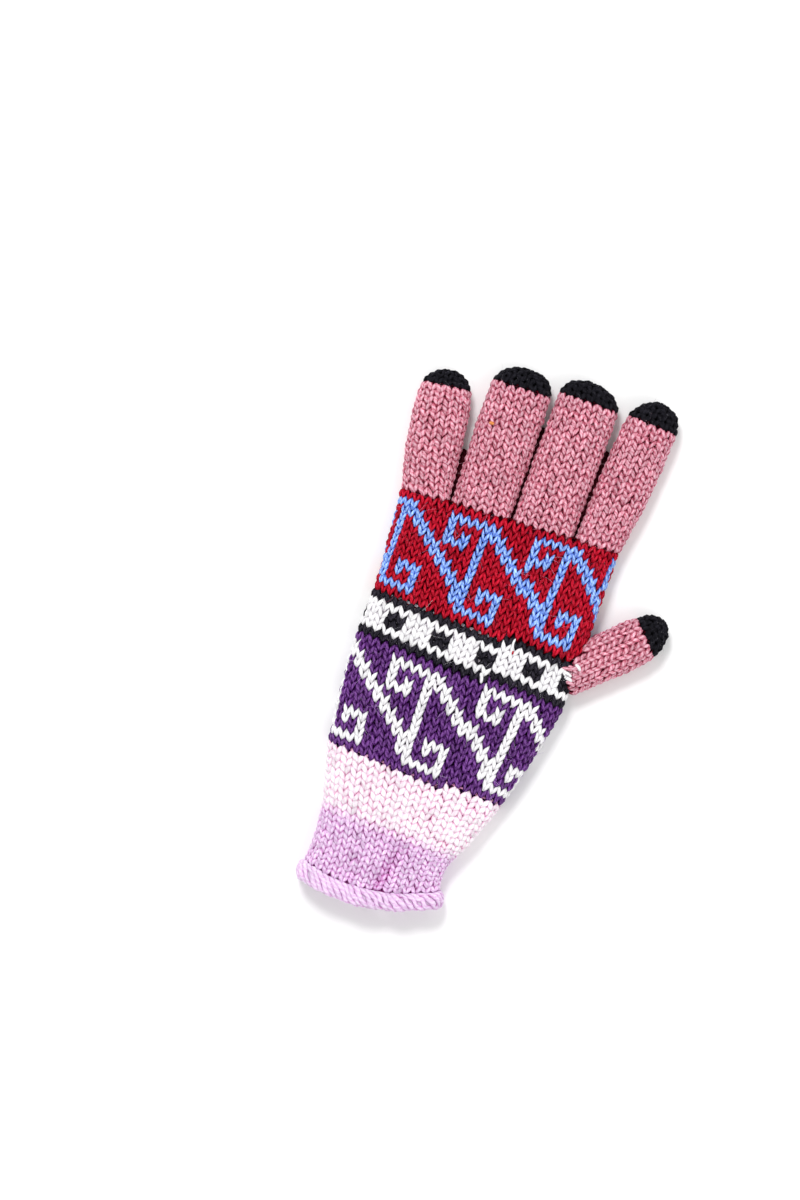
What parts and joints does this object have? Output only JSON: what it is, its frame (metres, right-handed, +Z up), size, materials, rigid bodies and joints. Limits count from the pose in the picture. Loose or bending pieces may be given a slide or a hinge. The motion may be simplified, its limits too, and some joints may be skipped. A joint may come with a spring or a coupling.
{
  "type": "knit glove",
  "caption": "Hollow knit winter glove lying flat, with a rolled cuff edge, fret-patterned bands on the hand and contrasting fingertips.",
  "frame": {"origin": "on the underside, at the middle of the dotted band, on the surface that the glove lies on", "axes": "+Y from the cuff to the fingers, +X to the thumb, +Z up through the back of the hand"},
  "size_m": [0.1459, 0.2606, 0.0182],
  "materials": {
    "lilac_knit": "soft stockinette of a lilac marled yarn",
    "pale_pink_knit": "soft stockinette of a near-white pink yarn",
    "purple_white_knit": "stranded stockinette, white fret on purple",
    "white_black_knit": "stranded stockinette, black squares on white between black lines",
    "red_blue_knit": "stranded stockinette, light blue fret on red",
    "rose_knit": "soft stockinette of a dusty rose yarn",
    "black_knit": "dense black stockinette of conductive yarn"
  },
  "bodies": {
    "root": {"cuff_roll": "lilac_knit", "cuff": "lilac_knit", "wrist_band": "pale_pink_knit", "lower_fret_band": "purple_white_knit", "dotted_band": "white_black_knit", "upper_fret_band": "red_blue_knit", "little_finger": "rose_knit", "ring_finger": "rose_knit", "middle_finger": "rose_knit", "index_finger": "rose_knit", "thumb": "rose_knit", "little_tip": "black_knit", "ring_tip": "black_knit", "middle_tip": "black_knit", "index_tip": "black_knit", "thumb_tip": "black_knit"}
  },
  "joints": []
}
